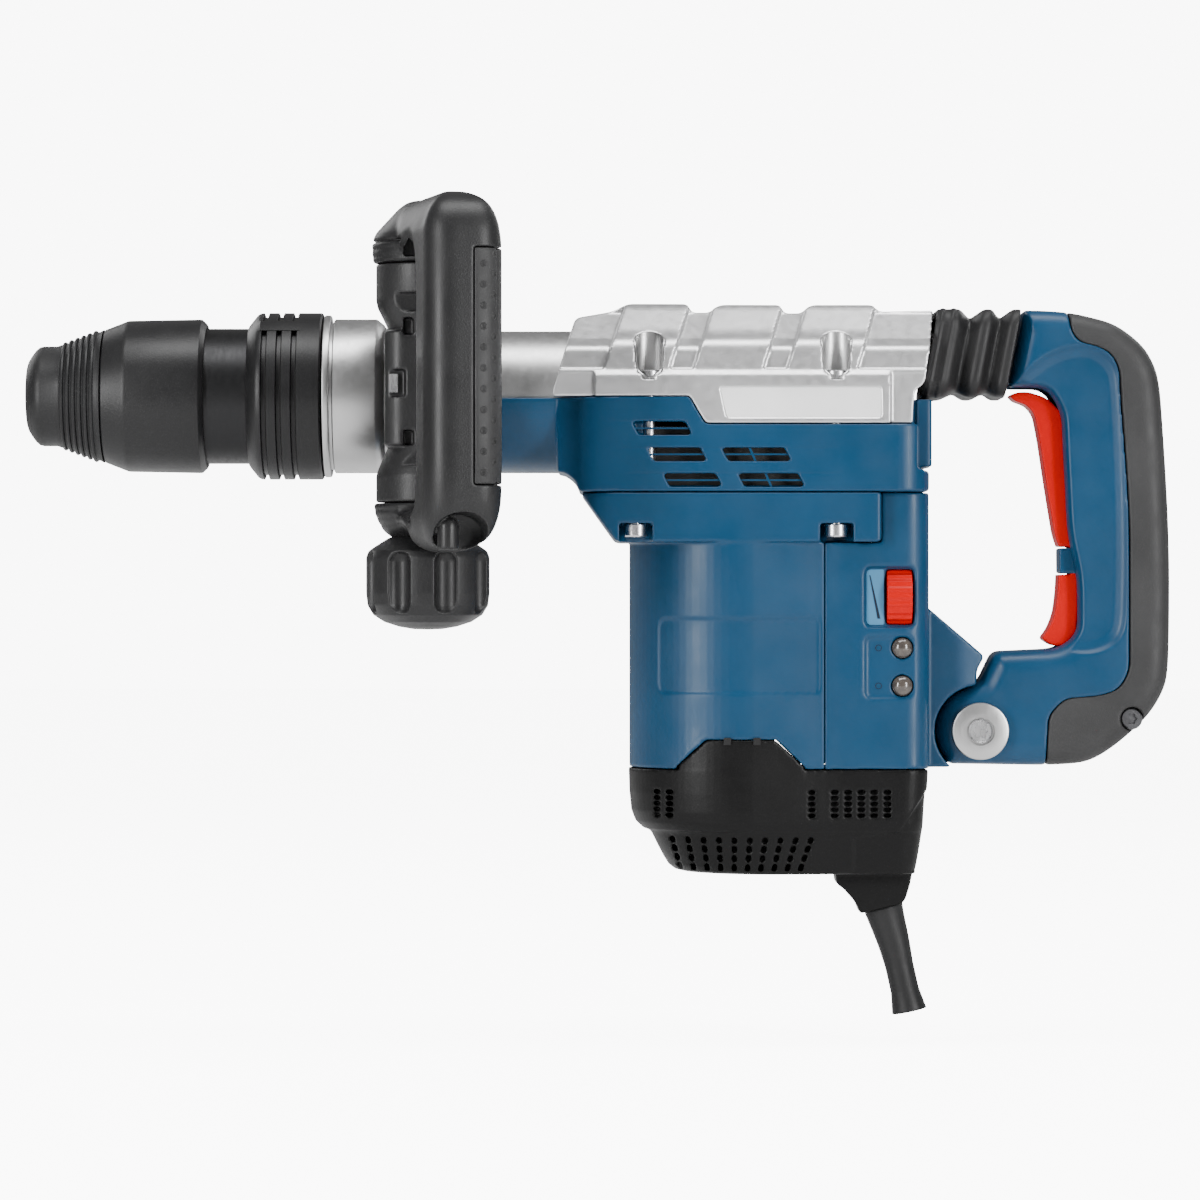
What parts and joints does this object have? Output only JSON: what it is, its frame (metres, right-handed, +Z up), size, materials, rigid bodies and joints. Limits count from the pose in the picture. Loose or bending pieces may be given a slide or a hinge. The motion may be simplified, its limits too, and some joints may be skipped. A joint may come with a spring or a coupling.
{
  "type": "demolition hammer",
  "caption": "Electric demolition hammer with chisel chuck, turning sleeve and ring, pivoting auxiliary handle, upright motor, crank drive and sprung rear handle with rocker switch",
  "frame": {"origin": "centre of the rear grip, where the hand holds the hammer", "axes": "+X from the chuck to the rear handle, +Z up, +Y to the right of the person holding the rear handle"},
  "size_m": [0.4852, 0.1729, 0.3435],
  "materials": {
    "cast_aluminium": "sand-blasted casting",
    "machined_aluminium": "turned",
    "blue_plastic": "fine spark-eroded grain",
    "black_plastic": "fine grain",
    "black_rubber": "matt",
    "soft_grip": "matt, soft",
    "red_plastic": "satin",
    "grey_clamp": "matt",
    "dark_steel": "black oxide",
    "bright_steel": "ground",
    "laminated_iron": "laminated",
    "copper": "drawn",
    "carbon": "pressed carbon",
    "circuit": "potted",
    "lamp_lens": "clear dome"
  },
  "bodies": {
    "housing": {"gearbox_housing": "cast_aluminium", "barrel": "machined_aluminium", "gear_cover": "blue_plastic", "motor_housing": "blue_plastic", "rear_housing": "blue_plastic", "bottom_cap": "black_plastic", "cord_guard": "black_rubber", "hammer_cylinder": "bright_steel", "front_casting_screw_right": "bright_steel", "rear_casting_screw_right": "bright_steel", "front_casting_screw_left": "bright_steel", "rear_casting_screw_left": "bright_steel", "front_flange_screw": "bright_steel", "rear_flange_screw": "bright_steel", "stator": "laminated_iron", "upper_motor_bearing": "bright_steel", "lower_motor_bearing": "bright_steel", "crank_bearing": "bright_steel", "brush_holder_left": "copper", "brush_holder_right": "copper", "brush_left": "carbon", "brush_right": "carbon", "electronics_module": "circuit", "upper_lamp": "lamp_lens", "lower_lamp": "lamp_lens", "pivot_bolt": "machined_aluminium", "bellows": "black_rubber", "handle_spring": "bright_steel"},
    "speed_wheel": {"speed_wheel": "red_plastic"},
    "armature": {"motor_shaft": "bright_steel", "armature_core": "laminated_iron", "commutator": "copper", "fan": "black_plastic"},
    "crank": {"crankshaft": "bright_steel", "crank_gear": "bright_steel"},
    "piston": {"piston": "bright_steel", "piston_pin": "bright_steel", "connecting_rod": "bright_steel"},
    "striker": {"striker": "bright_steel"},
    "beat_piece": {"beat_piece": "bright_steel"},
    "chuck": {"tool_holder": "dark_steel", "dust_cap": "black_rubber", "locking_roller_left": "bright_steel", "locking_roller_right": "bright_steel", "sleeve_spring": "bright_steel"},
    "locking_sleeve": {"locking_sleeve": "black_plastic"},
    "ribbed_ring": {"ribbed_ring": "black_plastic"},
    "rear_handle": {"handle_shell_left": "blue_plastic", "handle_shell_right": "blue_plastic", "grip_overmould": "soft_grip", "handle_screw": "bright_steel", "switch_module": "black_plastic"},
    "switch": {"switch_rocker": "red_plastic"},
    "clamp": {"clamp_body": "grey_clamp", "clamp_bolt": "bright_steel"},
    "bail": {"bail_frame": "black_plastic", "bail_pad": "soft_grip"},
    "knob": {"clamp_knob": "black_plastic"}
  },
  "joints": [
    {"name": "chuck_turn", "type": "hinge", "parent": "housing", "child": "chuck", "pos_m": [-0.412, 0, 0.036], "axis": [1, 0, 0], "continuous": true},
    {"name": "sleeve_pull", "type": "slide", "parent": "chuck", "child": "locking_sleeve", "axis": [1, 0, 0], "range_m": [0, 0.01], "stiffness_N_per_m": 900, "springref_m": -0.008, "deforming": ["sleeve_spring"]},
    {"name": "ring_pull", "type": "slide", "parent": "chuck", "child": "ribbed_ring", "axis": [-1, 0, 0], "range_m": [0, 0.005], "stiffness_N_per_m": 900, "springref_m": -0.006},
    {"name": "clamp_turn", "type": "hinge", "parent": "housing", "child": "clamp", "pos_m": [-0.2902, 0, 0.036], "axis": [1, 0, 0], "continuous": true},
    {"name": "bail_swing", "type": "hinge", "parent": "clamp", "child": "bail", "pos_m": [-0.2902, -0.046, 0.036], "axis": [0, 0, 1], "range_deg": [-50, 14]},
    {"name": "knob_turn", "type": "hinge", "parent": "clamp", "child": "knob", "pos_m": [-0.2902, -0.046, -0.044], "axis": [0, 0, 1], "continuous": true},
    {"name": "handle_swing", "type": "hinge", "parent": "housing", "child": "rear_handle", "pos_m": [-0.0576, 0, -0.1062], "axis": [0, -1, 0], "range_deg": [0, 2.5], "stiffness_Nm_per_rad": 60, "springref_deg": -2.29, "deforming": ["bellows", "handle_spring"]},
    {"name": "switch_press", "type": "hinge", "parent": "rear_handle", "child": "switch", "pos_m": [-0.0207, 0, -0.0338], "axis": [0, 1, 0], "range_deg": [0, 7], "stiffness_Nm_per_rad": 0.8, "springref_deg": -11.46},
    {"name": "speed_turn", "type": "hinge", "parent": "housing", "child": "speed_wheel", "pos_m": [-0.0927, -0.03, -0.0496], "axis": [1, 0, 0], "range_deg": [0, 270]},
    {"name": "armature_turn", "type": "hinge", "parent": "housing", "child": "armature", "pos_m": [-0.1595, 0, -0.064], "axis": [0, 0, 1], "continuous": true},
    {"name": "crank_turn", "type": "hinge", "parent": "housing", "child": "crank", "pos_m": [-0.122, 0, 0.006], "axis": [0, 0, 1], "continuous": true},
    {"name": "piston_stroke", "type": "slide", "parent": "housing", "child": "piston", "axis": [-1, 0, 0], "range_m": [0, 0.024]},
    {"name": "striker_flight", "type": "slide", "parent": "housing", "child": "striker", "axis": [1, 0, 0], "range_m": [-0.015, 0.005]},
    {"name": "beat_travel", "type": "slide", "parent": "housing", "child": "beat_piece", "axis": [-1, 0, 0], "range_m": [0, 0.0075]}
  ],
  "couplings": [
    {"joint": "crank_turn", "follows": "armature_turn", "ratio": -0.2}
  ]
}
